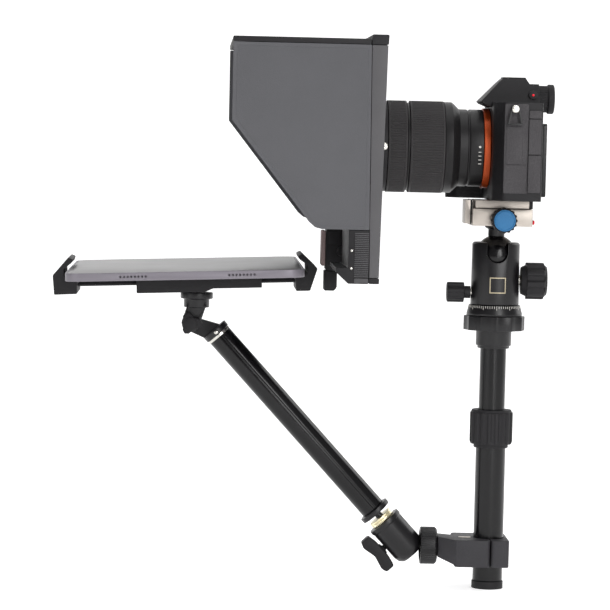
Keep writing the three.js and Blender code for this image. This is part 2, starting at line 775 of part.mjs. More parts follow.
// ---- Tablet mount and holder ---------------------------------------------------------------------
function tabletMount() {
  const cheek = new THREE.Shape();
  cheek.moveTo(MOUNT_X - 7.3, -128);
  cheek.lineTo(HINGE_X - 7.3, HINGE_Z);
  cheek.absarc(HINGE_X, HINGE_Z, 7.3, Math.PI, 2 * Math.PI, false);
  cheek.lineTo(MOUNT_X + 7.3, -128);
  cheek.closePath();
  const mount = turnedZ([
    [0, -129],
    [9.9, -129],
    [9.9, -122.6],
    [12.6, -122.1],
    [12.6, -117.3],
    [0, -117.3],
  ], [MOUNT_X, 0]);
  const pinBore = rodY(2.3, [-10, 10], [HINGE_X, HINGE_Z]);
  const cheeks = [[-7.8, -3.8], [3.8, 7.8]].map((y) => plateXZ(cheek, y));
  return cut(union(mount, ...cheeks), pinBore);
}

function topWingKnob() {
  const at = [HINGE_X, HINGE_Z];
  const pin = rodY(1.9, [-12, 9.5], at);
  const hub = rodY(4.6, [-16, -8.2], at);
  const wings = plateXZ(lobed(9.2, 4.2, 3, 6), [-15, -9.5], at);
  return union(pin, hub, wings);
}

const ROD_Y = [-14, 14];
const ROD_Z = 3;
const ROD_R = 1.3;

function jaw(points, [from, to]) {
  const rods = ROD_Y.map((y) => rodX(ROD_R, [from, to], [y, ROD_Z]));
  return union(plateXZ(outline(points, 0.8), [-JAW_HALF_W, JAW_HALF_W]), ...rods);
}

function tabletHolder() {
  const bodySide = outline([
    [-49, 9],
    [48, 9],
    [48, -1.6],
    [10, -1.6],
    [4, -4.2],
    [-49, -4.2],
  ], 0.8);
  const bores = ROD_Y.map((y) => rodX(ROD_R + 0.4, [-52, 52], [y, ROD_Z]));
  const leftJaw = jaw([
    [-94.5, -3.2],
    [-112.1, -3.5],
    [-112.9, 11.5],
    [-100.8, 24.9],
    [-97.6, 23.6],
    [-98.4, 20.6],
    [-104.3, 16],
    [-104.3, 9.5],
    [-94.5, 9.5],
  ], [-98, -6]);
  const rightJaw = jaw([
    [74, -4],
    [84.8, -4],
    [90.9, 13],
    [79.6, 24.4],
    [76.4, 23.2],
    [77, 20.4],
    [83, 16],
    [83, 9.5],
    [74, 9.5],
  ], [-2, 78]);
  const group = new THREE.Group();
  group.position.set(HOLDER_X, 0, -112);
  group.rotation.y = THREE.MathUtils.degToRad(-TABLET_TILT);
  group.add(
    piece("holder_body", cut(plateXZ(bodySide, [-22, 22]), ...bores), 0x141416, 0.55),
    piece("left_jaw", leftJaw, 0x1d1c1d, 0.55),
    piece("right_jaw", rightJaw, 0x1d1c1d, 0.55),
    ...tablet(),
  );
  return group;
}

function tablet() {
  const [length, width, thickness] = TABLET_SIZE;
  const [x, bottom] = [-10.9, 10.4];
  const top = bottom + thickness;
  const slab = (inset, radius) => rectangle(
    [x - length / 2 + inset, x + length / 2 - inset],
    [inset - width / 2, width / 2 - inset],
    radius,
  );
  const body = plateXY(slab(0, 16), [bottom, top]);
  const well = plateXY(slab(1.6, 14.6), [top - 0.9, top + 1]);
  const glass = plateXY(slab(1.9, 14.3), [top - 0.6, top]);
  return [
    piece("tablet_body", cut(body, well), 0x9b969e, 0.4, 0.8),
    piece("tablet_glass", glass, 0xb4b1b2, 0.12),
  ];
}

// ---- Assembly ------------------------------------------------------------------------------------
const rig = new THREE.Group();
rig.add(...column(), ...ballHead(), ...columnClamp(), arm());

const lensFrame = new THREE.Group();
lensFrame.position.z = LENS_Z;
lensFrame.add(
  ...quickRelease(),
  ...camera(),
  ...lens(),
  ...promptFrame(),
  ...phoneClamp(),
  piece("tablet_mount", tabletMount(), 0x151517, 0.5, 0.3),
  piece("top_wing_knob", topWingKnob(), 0x19191b, 0.6),
  tabletHolder(),
);
rig.add(lensFrame);

export default rig;
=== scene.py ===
"""Looks of a teleprompter rig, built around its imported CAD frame.

Lengths in the helpers are millimetres; meshes are written in metres. LENS is the frame whose origin is the
lens axis above the column's foot, and ARM the frame whose +Z runs up the arm from the mini ball.
"""
import json
import math

import bmesh
import bpy
from mathutils import Matrix, Vector

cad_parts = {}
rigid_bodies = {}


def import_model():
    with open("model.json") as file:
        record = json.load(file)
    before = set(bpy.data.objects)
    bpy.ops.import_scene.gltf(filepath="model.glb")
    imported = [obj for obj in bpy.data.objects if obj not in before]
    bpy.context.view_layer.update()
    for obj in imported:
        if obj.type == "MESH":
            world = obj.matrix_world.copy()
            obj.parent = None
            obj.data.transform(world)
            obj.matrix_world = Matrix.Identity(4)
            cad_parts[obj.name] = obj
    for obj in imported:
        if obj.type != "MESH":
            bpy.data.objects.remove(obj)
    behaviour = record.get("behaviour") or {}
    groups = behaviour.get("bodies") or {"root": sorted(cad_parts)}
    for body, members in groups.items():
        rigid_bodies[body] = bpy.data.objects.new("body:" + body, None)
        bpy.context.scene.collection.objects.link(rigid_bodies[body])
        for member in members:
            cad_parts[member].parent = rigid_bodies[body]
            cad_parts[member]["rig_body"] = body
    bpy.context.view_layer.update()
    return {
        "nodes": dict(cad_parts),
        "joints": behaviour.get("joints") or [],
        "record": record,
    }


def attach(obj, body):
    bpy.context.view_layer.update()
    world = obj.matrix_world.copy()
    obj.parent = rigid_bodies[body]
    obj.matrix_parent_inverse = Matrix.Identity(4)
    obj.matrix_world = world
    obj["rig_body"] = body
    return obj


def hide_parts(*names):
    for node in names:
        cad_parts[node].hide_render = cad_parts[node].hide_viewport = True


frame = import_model()
MM = 0.001
JOINTS = {joint["name"]: joint for joint in frame["joints"]}


def joint_point(name):
    return Vector(JOINTS[name]["pos_m"]) / MM


# ---- Places ---------------------------------------------------------------------------------------
TO_X = Matrix.Rotation(math.radians(90), 4, "Y")
TO_Y = Matrix.Rotation(math.radians(-90), 4, "X")
FOOT = Matrix.Identity(4)
LENS = Matrix.Translation((0, 0, joint_point("zoom_turn").z))
ARM_AXIS = Vector(JOINTS["arm_nut_turn"]["axis"])
ARM_SLOPE = math.atan2(ARM_AXIS.x, ARM_AXIS.z)
ARM = Matrix.Translation(joint_point("arm_tilt")) @ Matrix.Rotation(ARM_SLOPE, 4, "Y")
TABLET_TILT = -math.asin(JOINTS["left_jaw_slide"]["axis"][2])
SWIVEL_X = joint_point("tablet_swivel").x
BALL_Z = joint_point("ball_tilt").z
MAIN_LOCK_Z = joint_point("main_lock_turn").z
PAN_LOCK_Z = joint_point("pan_lock_turn").z
CLAMP_FLANGE_Z = joint_point("arm_tilt").z
EYEPIECE_Z = 39.3
DIOPTRE = (23.6, 41.9)  # X and Z in the lens frame
STRAP_LUG = (6.4, 30.7)
SAFETY_PIN = (-6, -57)  # Y and Z in the lens frame
HOLDER_OFFSET = 2.3  # the holder's middle lies off its swivel axis
HOLDER = LENS @ Matrix.Translation((SWIVEL_X + HOLDER_OFFSET, 0, -112)) @ Matrix.Rotation(-TABLET_TILT, 4,
                                                                                          "Y")


def along_x(place, y=0.0, z=0.0):
    return place @ Matrix.Translation((0, y, z)) @ TO_X


def along_y(place, x=0.0, z=0.0):
    return place @ Matrix.Translation((x, 0, z)) @ TO_Y


# ---- Materials ------------------------------------------------------------------------------------
def linear(colour):
    parts = [int(colour[i:i + 2], 16) / 255 for i in (0, 2, 4)]
    return [c / 12.92 if c <= 0.04045 else ((c + 0.055) / 1.055) ** 2.4 for c in parts] + [1.0]


def blended(tree, kind, factor, low, high):
    """A two colour ramp driven by factor."""
    ramp = tree.nodes.new("ShaderNodeValToRGB")
    ramp.color_ramp.elements[0].position = kind[0]
    ramp.color_ramp.elements[1].position = kind[1]
    ramp.color_ramp.elements[0].color = low
    ramp.color_ramp.elements[1].color = high
    tree.links.new(factor, ramp.inputs[0])
    return ramp.outputs[0]


def noise(tree, coordinate, scale, detail=3.0, stretch=None):
    if stretch:
        mapping = tree.nodes.new("ShaderNodeMapping")
        mapping.inputs["Scale"].default_value = stretch
        tree.links.new(coordinate, mapping.inputs[0])
        coordinate = mapping.outputs[0]
    node = tree.nodes.new("ShaderNodeTexNoise")
    node.inputs["Scale"].default_value = scale
    node.inputs["Detail"].default_value = detail
    tree.links.new(coordinate, node.inputs["Vector"])
    return node.outputs["Fac"]


def cells(tree, coordinate, scale):
    node = tree.nodes.new("ShaderNodeTexVoronoi")
    node.inputs["Scale"].default_value = scale
    tree.links.new(coordinate, node.inputs["Vector"])
    return node.outputs["Distance"]


def look(name, colour, rough, metal=0.0, grain=900.0, bump=0.15, mottle=0.22, pattern="noise",
         stretch=None, **fixed):
    """A procedural finish: mottled colour, uneven gloss and a fine bump of the given pattern."""
    material = bpy.data.materials.new(name)
    material.use_nodes = True
    tree = material.node_tree
    shader = tree.nodes["Principled BSDF"]
    where = tree.nodes.new("ShaderNodeTexCoord").outputs["Object"]
    base = linear(colour)
    low = [c * (1 - mottle) for c in base[:3]] + [1.0]
    high = [min(1.0, c * (1 + mottle)) for c in base[:3]] + [1.0]
    broad = noise(tree, where, 38.0, 4.0)
    fine = cells(tree, where, grain) if pattern == "cells" else noise(tree, where, grain, 2.0, stretch)
    both = tree.nodes.new("ShaderNodeMath")
    both.operation = "MULTIPLY_ADD"
    both.inputs[1].default_value = 0.45
    tree.links.new(fine, both.inputs[0])
    scaled = tree.nodes.new("ShaderNodeMath")
    scaled.operation = "MULTIPLY"
    scaled.inputs[1].default_value = 0.55
    tree.links.new(broad, scaled.inputs[0])
    tree.links.new(scaled.outputs[0], both.inputs[2])
    tree.links.new(blended(tree, (0.3, 0.7), both.outputs[0], low, high), shader.inputs["Base Color"])
    gloss = tree.nodes.new("ShaderNodeMapRange")
    gloss.inputs["To Min"].default_value = max(0.02, rough - 0.07)
    gloss.inputs["To Max"].default_value = min(1.0, rough + 0.07)
    tree.links.new(both.outputs[0], gloss.inputs[0])
    tree.links.new(gloss.outputs[0], shader.inputs["Roughness"])
    if bump:
        relief = tree.nodes.new("ShaderNodeBump")
        relief.inputs["Strength"].default_value = bump
        relief.inputs["Distance"].default_value = 0.0002
        tree.links.new(fine, relief.inputs["Height"])
        tree.links.new(relief.outputs[0], shader.inputs["Normal"])
    shader.inputs["Metallic"].default_value = metal
    shader.inputs["Specular IOR Level"].default_value = 0.25
    for socket, value in fixed.items():
        shader.inputs[socket.replace("_", " ")].default_value = value
    return material


LOOKS = {
    "moulding": look("black_moulding", "1b1a1c", 0.55, grain=1500, bump=0.25),
    "moulding_edge": look("black_moulding_edge", "454447", 0.42, grain=1500, bump=0.1),
    "hood": look("hood_grey", "535356", 0.75, grain=1700, bump=0.5, mottle=0.05, pattern="cells"),
    "hood_hem": look("hood_hem", "5f5f62", 0.66, grain=1700, bump=0.3, mottle=0.12),
    "hood_inside": look("hood_inside", "0b0b0c", 0.9, grain=1200, bump=0.4),
    "frame": look("frame_grey", "4f4e50", 0.5, grain=1400, bump=0.18, mottle=0.08),
    "frame_edge": look("frame_edge", "6a696b", 0.45, grain=1400, bump=0.1),
    "ribs": look("ribbed_grey", "464547", 0.5, grain=1300, bump=0.15),
    "metal": look("satin_black_metal", "141315", 0.34, 0.1, grain=2200, bump=0.08, Specular_IOR_Level=0.4),
    "metal_edge": look("satin_black_edge", "4c4a4d", 0.28, 0.7, grain=2200, bump=0.05),
    "gloss": look("gloss_black_tube", "0a090b", 0.2, grain=2500, bump=0.02, Specular_IOR_Level=0.32),
    "clamp": look("clamp_grey", "343336", 0.56, 0.1, grain=1900, bump=0.4, mottle=0.2),
    "clamp_edge": look("clamp_grey_edge", "59575c", 0.5, 0.2, grain=1900, bump=0.2),
    "grip": look("knob_rubber", "201f21", 0.62, grain=1300, bump=0.3),
    "grip_edge": look("knob_rubber_edge", "47464a", 0.5, grain=1300, bump=0.2),
    "silver": look("silver_alloy", "b5ada5", 0.4, 0.7, grain=2600, bump=0.22, mottle=0.07),
    "silver_edge": look("silver_alloy_edge", "e4deda", 0.25, 0.95, grain=2600, bump=0.05),
    "blue": look("blue_anodised", "2f6a98", 0.42, 0.1, grain=1500, bump=0.5, mottle=0.1, pattern="cells"),
    "red": look("red_anodised", "c0202c", 0.3, 0.55, grain=2200, bump=0.05),
    "steel": look("bright_steel", "cbc8c2", 0.24, 1.0, grain=900, bump=0.1, stretch=(1, 1, 14)),
    "brass": look("pale_brass", "e9e1c4", 0.28, 0.95, grain=1800, bump=0.12),
    "camera": look("camera_black", "1c1b1d", 0.5, grain=2300, bump=0.35, pattern="cells"),
    "camera_edge": look("camera_black_edge", "3a393c", 0.42, grain=2300, bump=0.15),
    "leather": look("camera_rubber", "413f41", 0.68, grain=1150, bump=0.85, pattern="cells"),
    "lcd": look("lcd_black", "0c0c0e", 0.3, grain=2000, bump=0.01),
    "lens": look("lens_black", "1d1c1d", 0.4, 0.2, grain=1900, bump=0.12),
    "lens_rib": look("lens_ring_rubber", "302e2f", 0.6, grain=1600, bump=0.25),
    "orange": look("mount_orange", "b0481e", 0.36, 0.4, grain=1800, bump=0.06),
    "rose": look("rose_pad", "8d7b7a", 0.6, grain=1500, bump=0.3),
    "tablet": look("tablet_metal", "77737a", 0.42, 0.3, grain=3000, bump=0.1, mottle=0.05),
    "tablet_edge": look("tablet_metal_edge", "9c98a0", 0.35, 0.4, grain=3000, bump=0.05),
    # The tablet's dark screen glass has a mid grey base colour: this is a painted reflection of the sheen
    # the glass shows at a grazing angle.
    "screen": look("tablet_screen", "757374", 0.35, grain=1500, bump=0.01, mottle=0.04,
                   Specular_IOR_Level=0.25),
    "paint": look("white_marking", "dcd9d2", 0.5, grain=1800, bump=0.1, mottle=0.06),
    "beige": look("beige_marking", "b3a88f", 0.42, 0.3, grain=1800, bump=0.1),
    "hole": look("dark_recess", "050506", 0.85, grain=1500, bump=0.1),
    "lens_glass": look("lens_glass", "10131c", 0.04, grain=900, bump=0.0, Coat_Weight=1.0),
    "splitter": look("beam_splitter", "c9d4d8", 0.04, grain=500, bump=0.0, mottle=0.04,
                     Transmission_Weight=0.82),
}


# ---- Mesh helpers ---------------------------------------------------------------------------------
def finished(name, mesh, body, looks, nodes=(), sharp=34):
    """A mesh as a piece of the object: shaded, given its materials, and riding on its body."""
    mesh.shade_smooth()
    mesh.set_sharp_from_angle(angle=math.radians(sharp))
    obj = bpy.data.objects.new(name, mesh)
    bpy.context.scene.collection.objects.link(obj)
    mesh.materials.clear()
    for key in looks:
        mesh.materials.append(LOOKS[key])
    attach(obj, body)
    if nodes:
        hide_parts(*nodes)
    return obj


def mesh_of(bm, name, place=FOOT):
    bm.transform(Matrix.Scale(MM, 4) @ place)
    bmesh.ops.recalc_face_normals(bm, faces=bm.faces)
    mesh = bpy.data.meshes.new(name)
    bm.to_mesh(mesh)
    bm.free()
    return mesh


def modified(mesh, add_modifiers):
    """The mesh after its modifiers are applied."""
    holder = bpy.data.objects.new("holder", mesh)
    bpy.context.scene.collection.objects.link(holder)
    add_modifiers(holder)
    graph = bpy.context.evaluated_depsgraph_get()
    result = bpy.data.meshes.new_from_object(holder.evaluated_get(graph))
    bpy.data.objects.remove(holder)
    return result


def bevelled(mesh, width, segments=2, angle=32, edge_slot=0, clamp=False):
    """Edges sharper than the angle get a rounded bevel, with a material slot of its own for wear."""
    def add(holder):
        bevel = holder.modifiers.new("bevel", "BEVEL")
        bevel.width = width * MM
        bevel.segments = segments
        bevel.limit_method = "ANGLE"
        bevel.angle_limit = math.radians(angle)
        bevel.use_clamp_overlap = clamp
        bevel.material = edge_slot
    return modified(mesh, add)


def carved(mesh, cutters):
    """The mesh less every cutter mesh."""
    objects = []
    for cutter in cutters:
        obj = bpy.data.objects.new("cutter", cutter)
        bpy.context.scene.collection.objects.link(obj)
        objects.append(obj)

    def add(holder):
        for obj in objects:
            cut = holder.modifiers.new("cut", "BOOLEAN")
            cut.operation = "DIFFERENCE"
            cut.solver = "EXACT"
            cut.object = obj
    result = modified(mesh, add)
    for obj in objects:
        bpy.data.objects.remove(obj)
    return result


def eased(profile, radius, steps=3):
    """The profile with each inner corner turned into a small arc."""
    done = [profile[0]]
    for before, here, after in zip(profile, profile[1:], profile[2:]):
        corner = Vector(here[:2])
        to_before = Vector(before[:2]) - corner
        to_after = Vector(after[:2]) - corner
        reach = min(radius, to_before.length / 2.2, to_after.length / 2.2)
        start = corner + to_before.normalized() * reach
        end = corner + to_after.normalized() * reach
        for i in range(steps + 1):
            t = i / steps
            point = start * (1 - t) ** 2 + corner * 2 * t * (1 - t) + end * t ** 2
            done.append((point.x, point.y) + tuple(here[2:]))
    return done + [profile[-1]]


def turned_mesh(name, profile, place, segments=96, ease=0.3, ribs=0, groove=None):
    """A profile of (radius, height, rib depth) turned about the place's Z axis.

    A point's rib depth is how far the ribs cut in there. groove(angle) cuts in all the way along.
    """
    points = eased(profile, ease) if ease else profile
    bm = bmesh.new()
    rings = []
    for point in points:
        radius, height = point[0], point[1]
        depth = point[2] if len(point) > 2 else 0.0
        if radius < 1e-6:
            rings.append([bm.verts.new((0, 0, height))])
            continue
        ring = []
        for i in range(segments):
            angle = 2 * math.pi * i / segments
            r = radius
            if depth:
                r -= depth * (0.5 - 0.5 * math.tanh(2.5 * math.cos(ribs * angle)) / math.tanh(2.5))
            if groove:
                r -= groove(angle)
            ring.append(bm.verts.new((r * math.cos(angle), r * math.sin(angle), height)))
        rings.append(ring)
    closed = len(rings[0]) > 1
    pairs = list(zip(rings, rings[1:]))
    if closed and profile[0][:2] != profile[-1][:2]:
        pairs.append((rings[-1], rings[0]))
    for low, high in pairs:
        for i in range(segments):
            j = (i + 1) % segments
            corners = []
            for vert in (low[i % len(low)], low[j % len(low)], high[j % len(high)], high[i % len(high)]):
                if vert not in corners:
                    corners.append(vert)
            if len(corners) > 2:
                bm.faces.new(corners)
    bmesh.ops.remove_doubles(bm, verts=bm.verts, dist=1e-5)
    return mesh_of(bm, name, place)


def turned(name, profile, place, body, key, nodes=(), slot=None, **shape):
    return finished(name, turned_mesh(name, profile, place, **shape), body, [key], nodes)


def rod(radius, start, end):
    return [(0, start), (radius, start), (radius, end), (0, end)]


def tube(inner, outer, start, end, rib=0.0):
    return [(inner, start), (outer, start, 0), (outer, start + 0.8, rib), (outer, end - 0.8, rib),
            (outer, end, 0), (inner, end), (inner, start)]


def rounded(points, radius, steps=6):
    """A closed outline with its corners rounded."""
    done = []
    for i, here in enumerate(points):
        corner = Vector(here)
        before = Vector(points[i - 1]) - corner
        after = Vector(points[(i + 1) % len(points)]) - corner
        reach = min(radius, before.length / 2.1, after.length / 2.1)
        start = corner + before.normalized() * reach
        end = corner + after.normalized() * reach
        for k in range(steps + 1):
            t = k / steps
            done.append(start * (1 - t) ** 2 + corner * 2 * t * (1 - t) + end * t ** 2)
    return done


def rect(x0, x1, y0, y1):
    return [(x0, y0), (x1, y0), (x1, y1), (x0, y1)]


def prism(name, outline, low, high, place):
    """An outline in the place's XY plane, from low to high along its Z."""
    bm = bmesh.new()
    face = bm.faces.new([bm.verts.new((p[0], p[1], low)) for p in outline])
    made = bmesh.ops.extrude_face_region(bm, geom=[face])
    lifted = [v for v in made["geom"] if isinstance(v, bmesh.types.BMVert)]
    bmesh.ops.translate(bm, vec=(0, 0, high - low), verts=lifted)
    return mesh_of(bm, name, place)


# Outline axes (u, v) and thickness w of a plate, as world directions.
SIDE = Matrix(((1, 0, 0, 0), (0, 0, 1, 0), (0, 1, 0, 0), (0, 0, 0, 1)))
FRONT = Matrix(((0, 0, 1, 0), (1, 0, 0, 0), (0, 1, 0, 0), (0, 0, 0, 1)))


def slab(name, outline, low, high, place, body, looks, bevel=0.25, nodes=(), slot=None):
    mesh = prism(name, outline, low, high, place)
    if bevel:
        mesh = bevelled(mesh, bevel, edge_slot=len(looks) - 1)
    return finished(name, mesh, body, looks, nodes)


def joined(meshes):
    bm = bmesh.new()
    for mesh in meshes:
        bm.from_mesh(mesh)
    mesh = bpy.data.meshes.new("joined")
    bm.to_mesh(mesh)
    bm.free()
    return mesh


def cad_copy(node, dissolve=True):
    """A node's faceted mesh as a clean one, its coplanar triangles joined."""
    bm = bmesh.new()
    bm.from_mesh(frame["nodes"][node].data)
    bmesh.ops.remove_doubles(bm, verts=bm.verts, dist=2e-6)
    if dissolve:
        bmesh.ops.dissolve_limit(bm, angle_limit=math.radians(0.6), verts=bm.verts, edges=bm.edges)
    return bm


def solid_of(mesh):
    """A mesh's volume, area and box, from the triangles it is drawn with."""
    mesh.calc_loop_triangles()
    points = [v.co for v in mesh.vertices]
    corners = [[points[i] for i in t.vertices] for t in mesh.loop_triangles]
    volume = abs(sum(a.dot(b.cross(c)) for a, b, c in corners)) / 6
    area = sum(t.area for t in mesh.loop_triangles)
    box = [pick(p[i] for p in points) for pick in (min, max) for i in range(3)]
    return volume, area, box


def sound(mesh, source):
    """True when the mesh fills the same space as its source."""
    volume, area, box = solid_of(mesh)
    wanted_volume, wanted_area, wanted_box = solid_of(source)
    near = all(abs(a - b) < 0.2 * MM for a, b in zip(box, wanted_box))
    return near and abs(volume / wanted_volume - 1) < 0.04 and -0.12 < area / wanted_area - 1 < 0.02


def slot_of(node):
    return next(s["material_slot"] for s in frame["record"]["subparts"] if s["node"] == node)


def body_of(node):
    return frame["nodes"][node]["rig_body"]


def refined(node, width, key, segments=3, angle=32):
    """A piece that stands for a CAD node, with rounded and worn edges."""
    source = frame["nodes"][node].data
    for dissolve, scale, clamp in ((True, 1, False), (True, 1, True), (False, 1, True), (False, 0.4, True)):
        mesh = bpy.data.meshes.new(node + "_fine")
        bm = cad_copy(node, dissolve)
        bm.to_mesh(mesh)
        bm.free()
        mesh.materials.clear()
        mesh = bevelled(mesh, width * scale, segments, angle, edge_slot=1, clamp=clamp)
        if sound(mesh, source):
            break
    else:
        print("unsound", node)
    edge = key + "_edge" if key + "_edge" in LOOKS else key
    return finished(node + "_fine", mesh, body_of(node), [key, edge], [node])


# ---- Hood -----------------------------------------------------------------------------------------
def inset_outline(points, amount):
    """A closed outline moved inwards, its short edges and slight turns left out first."""
    kept = [Vector(p) for p in points]
    changed = True
    while changed and len(kept) > 4:
        changed = False
        for i, here in enumerate(kept):
            before, after = kept[i - 1], kept[(i + 1) % len(kept)]
            turn = (here - before).angle(after - here, 0)
            if (here - before).length < amount * 1.2 or turn < math.radians(2):
                kept.pop(i)
                changed = True
                break
    area = sum(a.x * b.y - b.x * a.y for a, b in zip(kept, kept[1:] + kept[:1]))
    way = 1 if area > 0 else -1
    moved = []
    for i, here in enumerate(kept):
        into = (here - kept[i - 1]).normalized()
        out = (kept[(i + 1) % len(kept)] - here).normalized()
        n1, n2 = Vector((-into.y, into.x)) * way, Vector((-out.y, out.x)) * way
        corner = (n1 + n2).normalized()
        moved.append(here + corner * amount / max(0.35, corner.dot(n1)))
    return moved


def hood_panel(node, outward):
    """A stiff sheet with a bound hem round its outer face and a black lining."""
    bm = cad_copy(node)
    outer = max((f for f in bm.faces if f.normal.y * outward > 0.9), key=lambda f: f.calc_area())
    loop = [(v.co.x / MM, v.co.z / MM) for v in outer.verts]
    level = outer.calc_center_median().y / MM
    for face in bm.faces:
        face.material_index = 2 if face.normal.y * outward < -0.5 else 1
    mesh = bpy.data.meshes.new(node)
    bm.to_mesh(mesh)
    bm.free()
    finished(node + "_fine", mesh, body_of(node), ["hood", "hood_hem", "hood_inside"], [node],
             25)
    span = sorted((level - outward * 0.3, level + outward * 0.2))
    field = bevelled(prism(node + "_field", inset_outline(loop, 2.6), *span, FOOT @ SIDE), 0.12)
    finished(node + "_field", field, body_of(node), ["hood"])


def make_hood():
    hood_panel("hood_side_near", -1)
    hood_panel("hood_side_far", 1)
    refined("hood_top_flap", 0.5, "moulding")
    refined("glass_frame", 0.5, "moulding")
    refined("beam_splitter_glass", 0.3, "splitter")
    refined("frame_top_cap", 0.7, "moulding")
    refined("frame_bottom_cap", 0.5, "moulding")
    refined("frame_shell", 0.4, "frame")


def make_base_block():
    """Horizontal ribs on the block's ends, with a plain strip and two screws in front of them."""
    refined("base_block", 0.5, "moulding")
    ribs = 24
    low, high = -96.5, -63.2
    pitch = (high - low) / ribs
    for side, y in (("near", -140.0), ("far", 140.0)):
        outward = math.copysign(0.75, y)
        span = sorted((y - outward * 0.4, y + outward))
        bars = [
            bevelled(prism("rib", rect(-117.4, -106.9, low + i * pitch, low + (i + 0.58) * pitch), *span,
                           LENS @ SIDE), 0.18)
            for i in range(ribs)
        ]
        finished(f"base_ribs_{side}", joined(bars), "camera", ["ribs"])
        lip = rounded(rect(-117.4, -106.9, -101.0, -97.4), 1.2)
        slab(f"base_lip_{side}", lip, *span, LENS @ SIDE, "camera", ["ribs", "frame"])
        for i, z in enumerate((-77.0, -90.0)):
            screw = [(0, span[0]), (0.9, span[0]), (0.9, span[1] - 0.2), (0.55, span[1]), (0, span[1])]
            turned(f"base_screw_{side}_{i}", screw, along_y(LENS, -119.6, z), "camera", "steel", ease=0.1,
                   segments=24)


def make_phone_clamp():
    refined("phone_clamp_body", 0.7, "moulding")
    refined("phone_clamp_jaw", 0.7, "moulding")
    refined("phone_clamp_pad", 0.5, "rose")
    bracket = rounded(rect(-131.8, -122.0, -77.0, -67.5), 0.8)
    slab("phone_clamp_panel", bracket, -15.6, -14.8, LENS @ SIDE, "phone_clamp", ["grip", "grip_edge"])
    knob = [(0, -17.6), (3.2, -17.6), (3.8, -16.6), (3.8, -14.7), (0, -14.7)]
    turned("phone_clamp_pivot", knob, along_y(LENS, -121.6, -82.5), "phone_clamp", "metal")


# ---- Lens and camera ------------------------------------------------------------------------------
LENS_RIBS = 110


def make_lens():
    axis = along_x(LENS)
    barrel = [(0, -74), (28, -74), (28, -87.8), (31.6, -87.8), (31.6, -72.9), (34.2, -72.9), (34.2, -71.1),
              (31.6, -71.1), (31.6, -43.9), (35.3, -43.9), (35.3, -37.9), (33.2, -35.4), (30, -32.2),
              (30, -26),
              (29.3, -25.6), (29.3, -24.6), (30, -24.2), (30, -14), (0, -14)]
    turned("lens_barrel_fine", barrel, axis, "camera", "lens", ["lens_barrel"], "lens_black", segments=160)
    rings = (("focus_ring", "focus", -88, -73.2), ("zoom_ring", "zoom", -70.8, -44.2))
    for node, body, start, end in rings:
        profile = [(32, start), (35.7, start, 0), (35.7, start + 1.4, 0), (35.7, start + 1.7, 0.45),
                   (35.7, end - 1.7, 0.45), (35.7, end - 1.4, 0), (35.7, end, 0), (32, end), (32, start)]
        turned(node + "_fine", profile, axis, body, "lens_rib", [node], "lens_ring_rubber",
               segments=LENS_RIBS * 6, ribs=LENS_RIBS, ease=0.15)
    turned("lens_mount_ring_fine", tube(21, 31, -13.6, -8.6), axis, "camera", "orange", ["lens_mount_ring"],
           "mount_orange", segments=128)
    glass = [(0, -86), (7, -85.8), (14, -84.8), (21, -83.2), (27.5, -81), (27.5, -77), (0, -77)]
    turned("lens_front_glass_fine", glass, axis, "camera", "lens_glass", ["lens_front_glass"], "lens_glass",
           segments=128)
    for i in range(4):
        height = -3 - 3 * i
        tick = rect(-18.2, -16.0, height - 0.25, height + 0.25)
        mark = prism("mark", tick, -30.2, -29.0, LENS @ SIDE)
        finished(f"lens_mark_{i}", mark, "camera", ["paint"])
    dot = [(0, -30.4), (0.9, -30.4), (0.9, -29), (0, -29)]
    turned("lens_index_dot", dot, along_y(LENS, -17.1, 1), "camera", "paint", segments=32, ease=0.1)
    refined("lens_adapter", 0.4, "moulding")
    head = [(0, -40), (2.2, -40), (3, -39.4, 0.3), (3, -36.2, 0.3), (2.8, -35.7), (1.4, -35.7), (1.4, -30),
            (0, -30)]
    turned("adapter_lock_screw_fine", head, along_y(LENS, -91.6), "adapter_screw", "steel",
           ["adapter_lock_screw"], "bright_steel", segments=96, ribs=16, ease=0.12)


def dial(name, radius, low, high, x, y, ribs=32):
    profile = [(0, low), (radius, low, 0), (radius, low + 0.6, 0.5), (radius, high - 0.9, 0.5),
               (radius - 0.5, high, 0), (0, high)]
    turned(name, profile, LENS @ Matrix.Translation((x, y, 0)), "camera", "camera", segments=ribs * 6,
           ribs=ribs)


